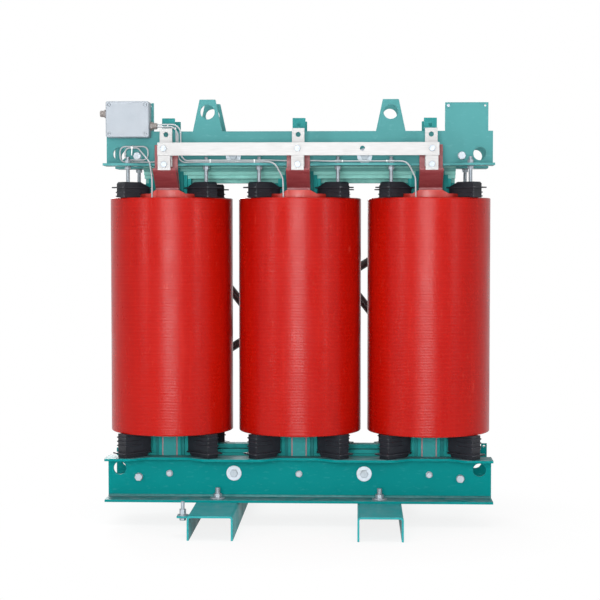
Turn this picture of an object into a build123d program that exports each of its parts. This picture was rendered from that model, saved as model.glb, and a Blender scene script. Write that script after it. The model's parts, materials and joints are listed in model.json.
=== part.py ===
from build123d import *
import math
import os

# Three-phase cast-resin dry type transformer. Millimetres, +Z up, +Y to the high-voltage side.
# X = 0 is the middle leg, Y = 0 the plane of the coil axes, Z = 0 the underside of the feet.

# Coils and legs
HV_R, HV_BORE, COIL_GAP = 211.0, 161.0, 23.0
PITCH = 2 * HV_R + COIL_GAP
LEGS = {"left": -PITCH, "centre": 0.0, "right": PITCH}
HV_Z0, HV_Z1 = 308.0, 1110.0
HV_EDGE = 4.0
LV_R, LV_BORE = 137.0, 97.0
LV_Z0, LV_Z1, LV_ROOT_Z, ROOT_W = 298.0, 1124.0, 1136.0, 122.0

# Core: (half width, half thickness) of each packet of laminations
PACKETS = [(87.5, 21.0), (73.0, 52.6), (61.0, 66.0), (49.0, 75.5), (38.0, 82.0)]
YOKE_TOP_Z, YOKE_LOW_Z = 1250.0, 171.5
CORE_T = PACKETS[-1][1]
YOKE_X = PITCH + PACKETS[0][0]

# Clamps: one folded plate each side of each yoke
PLATE = 8.0
TIE_T, TIE_W, TIE_CORNER = 4.5, 44.0, 2.0
LINER_T, LINER_W = 1.5, 53.0
TIE_BACK = CORE_T + LINER_T
WEB_BACK = TIE_BACK + TIE_T
WEB_FRONT = WEB_BACK + PLATE
FLANGE = 86.0
FLANGE_Y = WEB_FRONT + FLANGE
SCALLOP_Y, SCALLOP_IN, SCALLOP_OUT = WEB_FRONT + 45.0, 66.0, 122.0
CLAMP_END = 123.5
CLAMP_X = YOKE_X + CLAMP_END
UP_H, LOW_H = 119.0, 147.0
UP_Z0, LOW_Z0 = YOKE_TOP_Z - 33, YOKE_LOW_Z - 91.5
UP_Z1, LOW_Z1 = UP_Z0 + UP_H, LOW_Z0 + LOW_H
TIE_Z0, TIE_Z1 = LOW_Z0 + 30, UP_Z1 + 45
TIE_EYE_Z = TIE_Z1 - 24
LUG_X, LUG_RISE, LUG_BORE, LUG_EYE, LUG_CORNER = 311.0, 107.5, 24.5, 65.0, 2.5
END_HOLE_R, END_UP, END_LOW = 22.0, (CLAMP_X - 44, UP_Z0 + 42), (CLAMP_X - 40, LOW_Z0 + 103)

# Bolting
YOKE_BOLT_X, YOKE_BOLT_UP, YOKE_BOLT_LOW = PITCH / 2 + 0.5, UP_Z0 + 34.5, LOW_Z0 + 88
CROSS_OUT, CROSS_UP, CROSS_LOW = 18.5, UP_Z0 + 35, LOW_Z0 + 73
CROSS_X = YOKE_X + CROSS_OUT
TIE_BOLT_UP, TIE_BOLT_LOW = UP_Z1 - 41, LOW_Z0 + 86
M16_R, M12_R, M10_R = 8.0, 6.0, 5.0
FIT = 0.5
BIG_WASHER_R, BIG_WASHER_T = 26.0, 3.0
CROSS_WASHER_R, TIE_WASHER_R, WASHER_T = 14.0, 11.5, 2.0

# Feet
FOOT_X, FOOT_W, FOOT_T, FOOT_Y = 275.0, 149.0, 6.5, 430.0
FOOT_BOLT_Y = 140.0

# Coil supports
STUD_X, STUD_Y = 133.0, 134.0
BLOCK_ANGLE = math.degrees(math.atan2(STUD_Y, STUD_X))
STUD_RAD = math.hypot(STUD_X, STUD_Y)
BLOCK_W, SHED_W, WIDE_W = 42.0, 49.0, 66.0
BLOCK_R0, BLOCK_R1, WIDE_R0, WIDE_R1 = 112.0, 220.0, 104.0, 236.0
STEP_R, SHED_T = 152.0, 4.0
STUD_Z0, STUD_Z1 = 1150.0, 1248.0
CAP_Z = 1163.0

# Low-voltage connections
LEAD_T, LEAD_W, BAR_W = 8.0, 78.0, 42.0
PHASE_Y, NEUTRAL_Y = 150.0, 207.0
PHASE_FOOT_Y, NEUTRAL_FOOT_Y = LV_BORE + 7, LV_R - 9
PHASE_BEND_Z, NEUTRAL_BEND_Z, NOTCH_Z = 1198.0, 1200.0, 1206.0
TERMINAL_Z0, TERMINAL_L, TERMINAL_HOLE_R = 1214.0, 128.0, 8.5
TERMINAL_TOP = TERMINAL_Z0 + TERMINAL_L
TERMINAL_HOLE_Z = TERMINAL_TOP - 21
TERMINAL_BOLTS = (TERMINAL_Z0 + 24, TERMINAL_Z0 + 52)
PHASE_TOP = TERMINAL_BOLTS[1] + 21
STRAP_Z0, STRAP_L, STRAP_T = 1200.0, 91.0, 6.0
STRAP_Z1 = STRAP_Z0 + STRAP_L
BUS_H, BUS_T = 43.0, 8.0
BUS_X0, BUS_X1 = -PITCH - BAR_W / 2, PITCH + BAR_W / 2 + 3
BUS_Z0, BUS_BOLT_Z, STRAP_BOLT_Z = STRAP_Z1 - BUS_H, STRAP_Z1 - 20, STRAP_Z0 + 19
BUS_HOLE_X, BUS_HOLE_R = 215.0, 8.5

# High-voltage connections on the far side
HV_UP, HV_LOW = 1017.0, 455.0
BOSS_R, BOSS_Y = 31.0, 258.0
POST = 49.0
LINK_R, LUG_T = 15.0, 6.0
TAP_Y, TAP_W, TAP_Z0, TAP_Z1 = 232.0, 116.0, 600.0, 870.0
TAP_X, TAP_ROWS = 28.0, (660.0, 735.0, 810.0)

# Temperature sensor box and its leads
BOX_L, BOX_H = 146.0, 121.0
BOX_X0, BOX_Z0 = 7 - CLAMP_X, UP_Z1 - 23
BOX_X1, BOX_Z1 = BOX_X0 + BOX_L, BOX_Z0 + BOX_H
BOX_Y, LID_Y = 148.0, 158.0
GLAND_Y, GLAND_R_RISE, GLAND_L_RISE = 122.0, 39.0, 81.0
BRACKET_L, BRACKET_RISE = 146.0, 96.0
BRACKET_X1, BRACKET_Z = CLAMP_X - 16, UP_Z1 + BRACKET_RISE
BRACKET_X0 = BRACKET_X1 - BRACKET_L
CABLE_R, CABLE_BEND, HANK_BEND, RUN_Y = 2.5, 30.0, 18.0, -149.0


def span(x0, x1, y0, y1, z0, z1):
    """Box between two opposite corners."""
    return Pos((x0 + x1) / 2, (y0 + y1) / 2, (z0 + z1) / 2) * Box(x1 - x0, y1 - y0, z1 - z0)


def rod_z(x, y, z0, z1, r):
    """Upright cylinder."""
    return Pos(x, y, (z0 + z1) / 2) * Cylinder(r, z1 - z0)


def rod_y(x, z, y0, y1, r):
    """Cylinder along Y."""
    return Pos(x, (y0 + y1) / 2, z) * Rot(90, 0, 0) * Cylinder(r, abs(y1 - y0))


def rod_x(y, z, x0, x1, r):
    """Cylinder along X."""
    return Pos((x0 + x1) / 2, y, z) * Rot(0, 90, 0) * Cylinder(r, abs(x1 - x0))


def hex_z(x, y, z0, z1, across):
    """Upright hexagonal prism."""
    face = RegularPolygon(across / 2, 6, major_radius=False)
    return Pos(x, y, z0) * extrude(face, z1 - z0)


def hex_y(x, z, y0, y1, across):
    """Hexagonal prism along Y."""
    face = RegularPolygon(across / 2, 6, major_radius=False)
    return Pos(x, max(y0, y1), z) * Rot(90, 0, 0) * extrude(face, abs(y1 - y0))


def save(name, shapes):
    """Write one node, a single solid or a group of separate ones."""
    shapes = shapes if isinstance(shapes, list) else [shapes]
    solids = [s for shape in shapes for s in shape.solids()]
    body = solids[0] if len(solids) == 1 else Compound(children=solids)
    export_step(body, f"parts/{name}.step")


def rear(shape):
    """The same piece on the far side."""
    return mirror(shape, about=Plane.XZ)


# Core ---------------------------------------------------------------------------------------

def slabs():
    """Each packet as (half width, y from, y to), the outer ones on both sides."""
    rows = [(PACKETS[0][0], -PACKETS[0][1], PACKETS[0][1])]
    for (_, inner), (half, outer) in zip(PACKETS, PACKETS[1:]):
        rows += [(half, inner, outer), (half, -outer, -inner)]
    return rows


def core_leg(x):
    """Stepped leg standing between the packets of the two yokes."""
    body = None
    for half, y0, y1 in slabs():
        slab = span(x - half, x + half, y0, y1, YOKE_LOW_Z + half, YOKE_TOP_Z - half)
        body = slab if body is None else body + slab
    return body


def core_yoke(z, bolt_z):
    """Stepped yoke, drilled for its two clamping bolts."""
    body = None
    for half, y0, y1 in slabs():
        slab = span(-YOKE_X, YOKE_X, y0, y1, z - half, z + half)
        body = slab if body is None else body + slab
    for x in (-YOKE_BOLT_X, YOKE_BOLT_X):
        body -= rod_y(x, bolt_z, -CORE_T - 1, CORE_T + 1, M16_R + 2)
    return body


def tie_plate(x):
    """Flat bar tying the upper clamp to the lower one along a leg."""
    body = span(x - TIE_W / 2, x + TIE_W / 2, -WEB_BACK, -TIE_BACK, TIE_Z0, TIE_Z1)
    body = fillet(body.edges().filter_by(Axis.Y).group_by(Axis.Z)[-1], TIE_CORNER)
    for z in (TIE_BOLT_LOW, TIE_BOLT_UP):
        body -= rod_y(x, z, -WEB_BACK - 1, -TIE_BACK + 1, M12_R + 0.3)
    return body - rod_y(x, TIE_EYE_Z, -WEB_BACK - 1, -TIE_BACK + 1, 6)


def tie_liner(x):
    """Insulating strip between a tie plate and its leg, showing at both edges."""
    half = LINER_W / 2
    return span(x - half, x + half, -TIE_BACK, -CORE_T, YOKE_LOW_Z - 38, YOKE_TOP_Z + 38)


def yoke_pads():
    """Insulating strips between yokes and clamps, in the spaces beside the tie plates."""
    edge = LINER_W / 2 + 4
    runs = [(-PITCH - 85, -PITCH - edge), (-PITCH + edge, -edge),
            (edge, PITCH - edge), (PITCH + edge, PITCH + 85)]
    pads = []
    for z, bolt_z, low in ((YOKE_LOW_Z, YOKE_BOLT_LOW, -37), (YOKE_TOP_Z, YOKE_BOLT_UP, -30)):
        for x0, x1 in runs:
            pad = span(x0, x1, -WEB_BACK, -CORE_T, z + low, z + 37)
            for x in (-YOKE_BOLT_X, YOKE_BOLT_X):
                if x0 < x < x1:
                    pad -= rod_y(x, bolt_z, -WEB_BACK - 1, -CORE_T + 1, M16_R + 2)
            pads += [pad, rear(pad)]
    return pads


# Clamps -------------------------------------------------------------------------------------

def flange_outline(scalloped):
    """Plan of an outward flange; the coil-side one is cut back in front of each leg."""
    points = [(-CLAMP_X, -WEB_BACK), (-CLAMP_X, -FLANGE_Y)]
    if scalloped:
        for x in LEGS.values():
            points += [(x - SCALLOP_OUT, -FLANGE_Y), (x - SCALLOP_IN, -SCALLOP_Y),
                       (x + SCALLOP_IN, -SCALLOP_Y), (x + SCALLOP_OUT, -FLANGE_Y)]
    points += [(CLAMP_X, -FLANGE_Y), (CLAMP_X, -WEB_BACK)]
    face = make_face(Polyline(*points, close=True))
    inner = [v for v in face.vertices() if v.Y < -SCALLOP_Y + 1 and abs(v.X) < CLAMP_X - 1]
    return fillet(inner, 26) if inner else face


def flange(z0, z1, scalloped):
    return Pos(0, 0, z0) * extrude(flange_outline(scalloped), z1 - z0)


def lifting_lug(x):
    """Tapered eye standing on the top edge of the upper clamp."""
    face = make_face(Polyline((-50, 0), (50, 0), (27, LUG_RISE), (-27, LUG_RISE), close=True))
    face = fillet([v for v in face.vertices() if v.Y > 1], LUG_CORNER)
    face -= Pos(0, LUG_EYE) * Circle(LUG_BORE)
    return Pos(x, -WEB_BACK, UP_Z1) * extrude(Plane.XZ * face, PLATE)


def bracket(x0, x1):
    """Thin upright plate on the end of the front upper clamp, with two holes in its top corners."""
    body = span(x0, x1, -WEB_FRONT, -WEB_FRONT + 5, UP_Z1, BRACKET_Z)
    for x in (x0 + 11, x1 - 11):
        body -= rod_y(x, BRACKET_Z - 11, -WEB_FRONT - 1, -WEB_FRONT + 6, 3.4)
    return body


def bracket_screw():
    """Spare screw left in the inner top hole of the right-hand bracket."""
    x, z = BRACKET_X0 + 11, BRACKET_Z - 11
    return rod_y(x, z, -WEB_FRONT - 3, -WEB_FRONT, 5.5) + rod_y(x, z, -WEB_FRONT, -WEB_FRONT + 9, 3)


def clamp_upper(front):
    """Upper clamp: web, scalloped bottom flange and two lifting lugs."""
    body = span(-CLAMP_X, CLAMP_X, -WEB_FRONT, -WEB_BACK, UP_Z0, UP_Z1)
    body += flange(UP_Z0, UP_Z0 + PLATE, True)
    for x in (-LUG_X, LUG_X):
        body += lifting_lug(x)
    if front:
        body += bracket(BRACKET_X0, BRACKET_X1) + bracket(-BRACKET_X1, -BRACKET_X0)
    holes = [rod_y(s * END_UP[0], END_UP[1], -FLANGE_Y, -WEB_BACK + 1, END_HOLE_R) for s in (-1, 1)]
    holes += [rod_y(s * YOKE_BOLT_X, YOKE_BOLT_UP, -FLANGE_Y, -WEB_BACK + 1, M16_R + FIT)
              for s in (-1, 1)]
    holes += [rod_y(s * CROSS_X, CROSS_UP, -FLANGE_Y, -WEB_BACK + 1, M16_R + FIT) for s in (-1, 1)]
    holes += [rod_y(x, TIE_BOLT_UP, -FLANGE_Y, -WEB_BACK + 1, M12_R + FIT) for x in LEGS.values()]
    holes += [rod_z(x + s * STUD_X, -STUD_Y, UP_Z0 - 1, UP_Z0 + PLATE + 1, M12_R + FIT)
              for x in LEGS.values() for s in (-1, 1)]
    return body - holes


def clamp_lower(front):
    """Lower clamp: channel with a plain bottom flange and a scalloped top one."""
    body = span(-CLAMP_X, CLAMP_X, -WEB_FRONT, -WEB_BACK, LOW_Z0, LOW_Z1)
    body += flange(LOW_Z0, LOW_Z0 + PLATE, False)
    body += flange(LOW_Z1 - PLATE, LOW_Z1, True)
    if not front:
        tab = span(CLAMP_X - 20, CLAMP_X, -WEB_FRONT, -WEB_BACK, LOW_Z1, LOW_Z1 + 22)
        body += tab - rod_y(CLAMP_X - 10, LOW_Z1 + 12, -WEB_FRONT - 1, -WEB_BACK + 1, 4.5)
    holes = [rod_y(s * END_LOW[0], END_LOW[1], -WEB_FRONT - 1, -WEB_BACK + 1, END_HOLE_R)
             for s in (-1, 1)]
    holes += [rod_y(s * YOKE_BOLT_X, YOKE_BOLT_LOW, -WEB_FRONT - 1, -WEB_BACK + 1, M16_R + FIT)
              for s in (-1, 1)]
    holes += [rod_y(s * CROSS_X, CROSS_LOW, -WEB_FRONT - 1, -WEB_BACK + 1, M16_R + FIT)
              for s in (-1, 1)]
    holes += [rod_y(x, TIE_BOLT_LOW, -WEB_FRONT - 1, -WEB_BACK + 1, M12_R + FIT)
              for x in LEGS.values()]
    holes += [rod_z(s * FOOT_X, -FOOT_BOLT_Y, LOW_Z0 - 1, LOW_Z0 + PLATE + 1, M16_R + FIT)
              for s in (-1, 1)]
    return body - holes


# Bolting ------------------------------------------------------------------------------------

def plain_washer(x, z, radius, thick, hole):
    """Washer lying on the front face of a clamp."""
    ring = rod_y(x, z, -WEB_FRONT - thick, -WEB_FRONT, radius)
    return ring - rod_y(x, z, -WEB_FRONT - thick - 1, -WEB_FRONT + 1, hole + FIT)


def cross_bolt(x, z):
    """Long bolt beside the core, with a washer at each end."""
    washer = plain_washer(x, z, CROSS_WASHER_R, WASHER_T, M16_R)
    return through_bolt(x, z, WASHER_T) + [washer, rear(washer)]


def through_bolt(x, z, packing):
    """Long bolt through both clamps, its head in front and its nut behind."""
    seat = WEB_FRONT + packing
    bolt = hex_y(x, z, -seat - 10, -seat, 24) + rod_y(x, z, -seat, seat + 17, M16_R)
    nut = hex_y(x, z, seat, seat + 13, 24) - rod_y(x, z, seat - 1, seat + 14, M16_R + 0.3)
    return [bolt, nut]


def tie_bolt(x, z):
    """Short bolt and washer through the clamp into the tapped tie plate."""
    seat = WEB_FRONT + WASHER_T
    bolt = hex_y(x, z, -seat - 8, -seat, 17) + rod_y(x, z, -seat, -TIE_BACK - 0.5, M12_R)
    return [bolt, plain_washer(x, z, TIE_WASHER_R, WASHER_T, M12_R)]


def foot_fastener(x):
    """Bolt standing up through foot and lower flange, with its wide washer and nut."""
    top, seat = LOW_Z0 - FOOT_T, LOW_Z0 + PLATE
    y = -FOOT_BOLT_Y
    bolt = hex_z(x, y, top - 10, top, 24) + rod_z(x, y, top, 125, M16_R)
    washer = rod_z(x, y, seat, seat + 4, 25) - rod_z(x, y, seat - 1, seat + 5, M16_R + FIT)
    nut = hex_z(x, y, seat + 4, seat + 17, 24) - rod_z(x, y, seat, seat + 18, M16_R + 0.3)
    return [bolt, washer, nut]


def both_sides(pieces):
    return pieces + [rear(p) for p in pieces]


# Feet ---------------------------------------------------------------------------------------

def foot(x):
    """Folded channel lying open side down under both lower clamps."""
    half, mid = FOOT_W / 2 - FOOT_T / 2, LOW_Z0 - FOOT_T / 2
    line = FilletPolyline((-half, 0), (-half, mid), (half, mid), (half, 0), radius=8)
    body = extrude(Plane.XZ * trace(line, line_width=FOOT_T), FOOT_Y, both=True)
    for y in (-FOOT_BOLT_Y, FOOT_BOLT_Y):
        body -= rod_z(0, y, LOW_Z0 - FOOT_T - 1, LOW_Z0 + 1, M16_R + FIT)
    return Pos(x, 0, 0) * body


def earth_tab_foot(x):
    """Left foot with the earthing tab welded to its outer side."""
    side = x - FOOT_W / 2
    tab = span(side - 38, side, -382, -342, LOW_Z0 - 16, LOW_Z0 - 10)
    return foot(x) + tab - rod_z(side - 20, -362, 0, LOW_Z0 + 1, M12_R + FIT)


def earth_bolt():
    """Bolt, two washers and nut on the earthing tab."""
    x, y, z0, z1 = -FOOT_X - FOOT_W / 2 - 20, -362, LOW_Z0 - 16, LOW_Z0 - 10
    bolt = hex_z(x, y, z0 - 10, z0 - 2, 19) + rod_z(x, y, z0 - 2, z1 + 46, M12_R)
    low = rod_z(x, y, z0 - 2, z0, 12) - rod_z(x, y, z0 - 3, z0 + 1, M12_R + 0.3)
    high = rod_z(x, y, z1, z1 + 3, 17) - rod_z(x, y, z1 - 1, z1 + 4, M12_R + 0.3)
    nut = hex_z(x, y, z1 + 3, z1 + 21, 19) - rod_z(x, y, z1, z1 + 22, M12_R + 0.3)
    return [bolt, low, high, nut]


# Coils --------------------------------------------------------------------------------------

def hv_coil(x):
    """Cast high-voltage coil with terminal bosses and tap field on the far side."""
    body = rod_z(0, 0, HV_Z0, HV_Z1, HV_R)
    body = fillet(body.edges().filter_by(GeomType.CIRCLE), HV_EDGE)
    field = span(-TAP_W / 2, TAP_W / 2, 150, TAP_Y, TAP_Z0, TAP_Z1)
    body += fillet(field.edges().filter_by(Axis.Y), 14)
    for z in (HV_UP, HV_LOW):
        body += rod_y(0, z, 150, BOSS_Y, BOSS_R)
        body -= rod_y(0, z, BOSS_Y - 30, BOSS_Y + 1, M12_R + 0.3)
    for tx in (-TAP_X, TAP_X):
        for z in TAP_ROWS:
            body -= rod_y(tx, z, TAP_Y - 20, TAP_Y + 1, M10_R + 0.3)
    body -= rod_z(0, 0, HV_Z0 - 1, HV_Z1 + 1, HV_BORE)
    return Pos(x, 0, 0) * body


def lv_coil(x):
    """Foil-wound low-voltage coil, a tube whose end rises in front where its leads come out."""
    body = rod_z(0, 0, LV_Z0, LV_Z1, LV_R)
    ramp = make_face(Polyline((-ROOT_W / 2, LV_Z1), (-LEAD_W / 2, LV_ROOT_Z), (LEAD_W / 2, LV_ROOT_Z),
                              (ROOT_W / 2, LV_Z1), close=True))
    root = extrude(Plane.XZ * ramp, LV_R) & rod_z(0, 0, LV_Z1, LV_ROOT_Z, LV_R)
    body += root
    return Pos(x, 0, 0) * (body - rod_z(0, 0, LV_Z0 - 1, LV_ROOT_Z + 1, LV_BORE))


def placed_four(piece):
    """A block drawn along +X, set out to the four studs of every coil."""
    turns = (BLOCK_ANGLE, 180 - BLOCK_ANGLE, 180 + BLOCK_ANGLE, -BLOCK_ANGLE)
    return [Pos(x, 0, 0) * Rot(0, 0, a) * piece for x in LEGS.values() for a in turns]


def block(profile, wide, small):
    """Moulded support: a stepped body with one wide shed and a few small ones round it."""
    face = make_face(Polyline(*profile, close=True))
    body = extrude(Plane.XZ * face, BLOCK_W / 2, both=True)
    r0, z0 = wide
    broad = span(r0, WIDE_R1, -WIDE_W / 2, WIDE_W / 2, z0, z0 + SHED_T)
    body += fillet(broad.edges().filter_by(Axis.Z), 8)
    for z in small:
        shed = span(STEP_R + 0.5, BLOCK_R1 + 5, -SHED_W / 2, SHED_W / 2, z, z + SHED_T)
        body += fillet(shed.edges().filter_by(Axis.Z), 6)
    return body


def upper_block():
    """Support pressed down on both coils by its stud."""
    profile = [(BLOCK_R0, LV_Z1), (STEP_R, LV_Z1), (STEP_R, HV_Z1), (BLOCK_R1, HV_Z1),
               (BLOCK_R1, CAP_Z - 6), (BLOCK_R1 - 6, CAP_Z), (BLOCK_R0 + 38, CAP_Z),
               (BLOCK_R0, LV_Z1 + 22)]
    body = block(profile, (WIDE_R0, LV_Z1 + 18), (HV_Z1 + 3, HV_Z1 + 16))
    return body - rod_z(STUD_RAD, 0, STUD_Z0, CAP_Z + 1, M12_R + 0.3)


def lower_block():
    """Support standing on the lower clamp, stepped for the longer inner coil."""
    profile = [(BLOCK_R0 + 18, LOW_Z1), (BLOCK_R1, LOW_Z1), (BLOCK_R1, HV_Z0), (STEP_R, HV_Z0),
               (STEP_R, LV_Z0), (BLOCK_R0, LV_Z0), (BLOCK_R0, LOW_Z1 + 22)]
    return block(profile, (WIDE_R0 + 10, LOW_Z1 + 14), (HV_Z0 - 42, HV_Z0 - 28, HV_Z0 - 14))


def press_stud():
    """Threaded stud from the block up through the clamp flange."""
    return rod_z(STUD_RAD, 0, STUD_Z0, STUD_Z1, M12_R)


def press_nuts():
    """Nut and washer on each face of the clamp flange."""
    hole = rod_z(STUD_RAD, 0, UP_Z0 - 30, UP_Z0 + 40, M12_R + 0.3)
    low, high = UP_Z0, UP_Z0 + PLATE
    pieces = [hex_z(STUD_RAD, 0, low - 12, low - 2, 19), rod_z(STUD_RAD, 0, low - 2, low, 12),
              rod_z(STUD_RAD, 0, high, high + 2, 12), hex_z(STUD_RAD, 0, high + 2, high + 12, 19)]
    return [p - hole for p in pieces]


# Low-voltage connections --------------------------------------------------------------------

def bent_plate(x, points, width):
    """Plate folded along a line of (y, z) points in front of a leg."""
    line = FilletPolyline(*points, radius=6)
    face = Plane.YZ * trace(line, line_width=LEAD_T)
    return Pos(x, 0, 0) * extrude(face, width / 2, both=True)


def phase_lead(x):
    """Insulated lead from the inner turn, rising behind the neutral one."""
    points = [(-PHASE_FOOT_Y, LV_ROOT_Z), (-PHASE_FOOT_Y, LV_ROOT_Z + 12),
              (-PHASE_Y, PHASE_BEND_Z), (-PHASE_Y, PHASE_TOP)]
    body = bent_plate(x, points, LEAD_W)
    for z in TERMINAL_BOLTS:
        body -= rod_y(x, z, -PHASE_Y - 6, -PHASE_Y + 6, M12_R + FIT)
    return body


def neutral_lead(x):
    """Insulated lead from the outer turn, leaning out to the neutral bar."""
    top = STRAP_BOLT_Z + 19
    points = [(-NEUTRAL_FOOT_Y, LV_ROOT_Z), (-NEUTRAL_FOOT_Y, LV_ROOT_Z + 10),
              (-NEUTRAL_Y, NEUTRAL_BEND_Z), (-NEUTRAL_Y, top)]
    body = bent_plate(x, points, LEAD_W)
    for s in (-1, 1):
        edge = x + s * (BAR_W + LEAD_W) / 4
        half = (LEAD_W - BAR_W) / 4
        body -= span(edge - half, edge + half + 0.01, -NEUTRAL_Y - 9, -NEUTRAL_Y + 9, NOTCH_Z, top + 1)
    return body - rod_y(x, STRAP_BOLT_Z, -NEUTRAL_Y - 6, -NEUTRAL_Y + 6, M12_R + FIT)


def phase_terminal(x):
    """Bare bar bolted to the phase lead, with the customer's hole near its top."""
    y0 = -PHASE_Y - LEAD_T / 2
    body = span(x - BAR_W / 2, x + BAR_W / 2, y0 - 8, y0, TERMINAL_Z0, TERMINAL_TOP)
    for z in TERMINAL_BOLTS:
        body -= rod_y(x, z, y0 - 9, y0 + 1, M12_R + FIT)
    return body - rod_y(x, TERMINAL_HOLE_Z, y0 - 9, y0 + 1, TERMINAL_HOLE_R)


def neutral_strap(x):
    """Short bar joining a neutral lead to the bar across the front."""
    y0 = -NEUTRAL_Y - LEAD_T / 2
    body = span(x - BAR_W / 2, x + BAR_W / 2, y0 - STRAP_T, y0, STRAP_Z0, STRAP_Z1)
    for z in (STRAP_BOLT_Z, BUS_BOLT_Z):
        body -= rod_y(x, z, y0 - STRAP_T - 1, y0 + 1, M12_R + FIT)
    return body


def neutral_busbar():
    """Bar joining the three straps, with a free hole for the neutral cable."""
    y0 = -NEUTRAL_Y - LEAD_T / 2 - STRAP_T
    body = span(BUS_X0, BUS_X1, y0 - BUS_T, y0, BUS_Z0, STRAP_Z1)
    body -= [rod_y(x, BUS_BOLT_Z, y0 - BUS_T - 1, y0 + 1, M12_R + FIT) for x in LEGS.values()]
    return body - rod_y(BUS_HOLE_X, BUS_BOLT_Z, y0 - BUS_T - 1, y0 + 1, BUS_HOLE_R)


def plate_bolt(x, z, front, back):
    """Bolt and nut through a stack of bars lying between two depths."""
    bolt = hex_y(x, z, -front - 8, -front, 19) + rod_y(x, z, -front, -back + 14, M12_R)
    nut = hex_y(x, z, -back, -back + 10, 19) - rod_y(x, z, -back - 1, -back + 11, M12_R + 0.3)
    return [bolt, nut]


def busbar_bolts():
    strap = NEUTRAL_Y + LEAD_T / 2
    pieces = []
    for x in LEGS.values():
        pieces += plate_bolt(x, BUS_BOLT_Z, strap + STRAP_T + BUS_T, strap)
        pieces += plate_bolt(x, STRAP_BOLT_Z, strap + STRAP_T, NEUTRAL_Y - LEAD_T / 2)
    return pieces


def terminal_bolts():
    pieces = []
    for x in LEGS.values():
        for z in TERMINAL_BOLTS:
            pieces += plate_bolt(x, z, PHASE_Y + LEAD_T / 2 + 8, PHASE_Y - LEAD_T / 2)
    return pieces


# High-voltage connections -------------------------------------------------------------------

def hv_link(x0, z0, x1, z1, y):
    """Insulated tube with a flat drilled lug at each end."""
    length = math.hypot(x1 - x0, z1 - z0)
    tilt = math.degrees(math.atan2(z1 - z0, x1 - x0))
    body = Rot(0, 90, 0) * Cylinder(LINK_R, length - 96)
    for s in (-1, 1):
        body += Pos(s * (length / 2 - 28), 0, 0) * Box(64, LUG_T, 26)
        body += Pos(s * length / 2, 0, 0) * Rot(90, 0, 0) * Cylinder(13, LUG_T)
        body -= Pos(s * length / 2, 0, 0) * Rot(90, 0, 0) * Cylinder(M12_R + FIT, LUG_T + 2)
    return Pos((x0 + x1) / 2, y + LUG_T / 2, (z0 + z1) / 2) * Rot(0, -tilt, 0) * body


def hv_terminal(x, z, seat):
    """Stud screwed into a boss, with the washer and nut that hold a link."""
    stud = rod_y(x, z, BOSS_Y - 28, seat + LUG_T + 22, M12_R)
    ring = rod_y(x, z, seat + LUG_T, seat + LUG_T + 2, 12)
    nut = hex_y(x, z, seat + LUG_T + 2, seat + LUG_T + 12, 19)
    hole = rod_y(x, z, seat, seat + 40, M12_R + 0.3)
    return [stud, ring - hole, nut - hole]


def hv_post(x, z):
    """Metal spacer that carries the long link clear of the short ones."""
    return rod_y(x, z, BOSS_Y, BOSS_Y + POST, 13) - rod_y(x, z, BOSS_Y - 1, BOSS_Y + POST + 1, M12_R + 0.3)


def tap_link(x):
    """Brass bar across the middle pair of taps."""
    body = span(x - TAP_X - 12, x + TAP_X + 12, TAP_Y, TAP_Y + 4, TAP_ROWS[1] - 11, TAP_ROWS[1] + 11)
    for s in (-1, 1):
        body -= rod_y(x + s * TAP_X, TAP_ROWS[1], TAP_Y - 1, TAP_Y + 5, M10_R + FIT)
    return body


def tap_screws():
    pieces = []
    for x in LEGS.values():
        for s in (-1, 1):
            for z in TAP_ROWS:
                seat = TAP_Y + (4 if z == TAP_ROWS[1] else 0)
                pieces.append(hex_y(x + s * TAP_X, z, seat, seat + 7, 16)
                              + rod_y(x + s * TAP_X, z, TAP_Y - 18, seat, M10_R))
    return pieces


# Sensor box and leads -----------------------------------------------------------------------

def sensor_box():
    """Open-fronted box on the left bracket, bored for its two glands."""
    body = span(BOX_X0, BOX_X1, -BOX_Y, -WEB_FRONT, BOX_Z0, BOX_Z1)
    body = fillet(body.edges().filter_by(Axis.Y), 6)
    body -= span(BOX_X0 + 4, BOX_X1 - 4, -BOX_Y - 1, -WEB_FRONT - 4, BOX_Z0 + 4, BOX_Z1 - 4)
    return body


def sensor_lid():
    """Lid with bevelled edges and a shallow recess at each corner screw."""
    body = span(BOX_X0, BOX_X1, -LID_Y, -BOX_Y, BOX_Z0, BOX_Z1)
    body = fillet(body.edges().filter_by(Axis.Y), 6)
    body = chamfer(body.faces().sort_by(Axis.Y)[0].edges(), 2.5)
    for x, z in lid_corners():
        body -= rod_y(x, z, -LID_Y - 1, -LID_Y + 2.5, 6)
        body -= rod_y(x, z, -LID_Y, -BOX_Y + 1, 2.3)
    return body


def lid_corners():
    return [(x, z) for x in (BOX_X0 + 12, BOX_X1 - 12) for z in (BOX_Z0 + 12, BOX_Z1 - 12)]


def lid_screw(x, z):
    head = rod_y(x, z, -LID_Y + 0.3, -LID_Y + 2.5, 4.5)
    head -= span(x - 5, x + 5, -LID_Y, -LID_Y + 1.2, z - 0.6, z + 0.6)
    return head + rod_y(x, z, -LID_Y + 2.5, -BOX_Y, 2)


def gland(x, z, s):
    """Cable gland on one end of the box: hexagon, then a rounded cap."""
    face = RegularPolygon(12.5, 6, major_radius=False)
    body = extrude(face, 9) + Pos(0, 0, 16.5) * Cylinder(11, 15)
    body = fillet(body.edges().filter_by(GeomType.CIRCLE).sort_by(Axis.Z)[-1], 3)
    return Pos(x, -GLAND_Y, z) * Rot(0, 90 * s, 0) * body


def cable(points, bend):
    """Round lead of the temperature sensors, laid through straight runs and even bends."""
    path = FilletPolyline(*points, radius=bend)
    start = Plane(origin=path @ 0, z_dir=path % 0)
    return sweep(start * Circle(CABLE_R), path=path)


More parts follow.
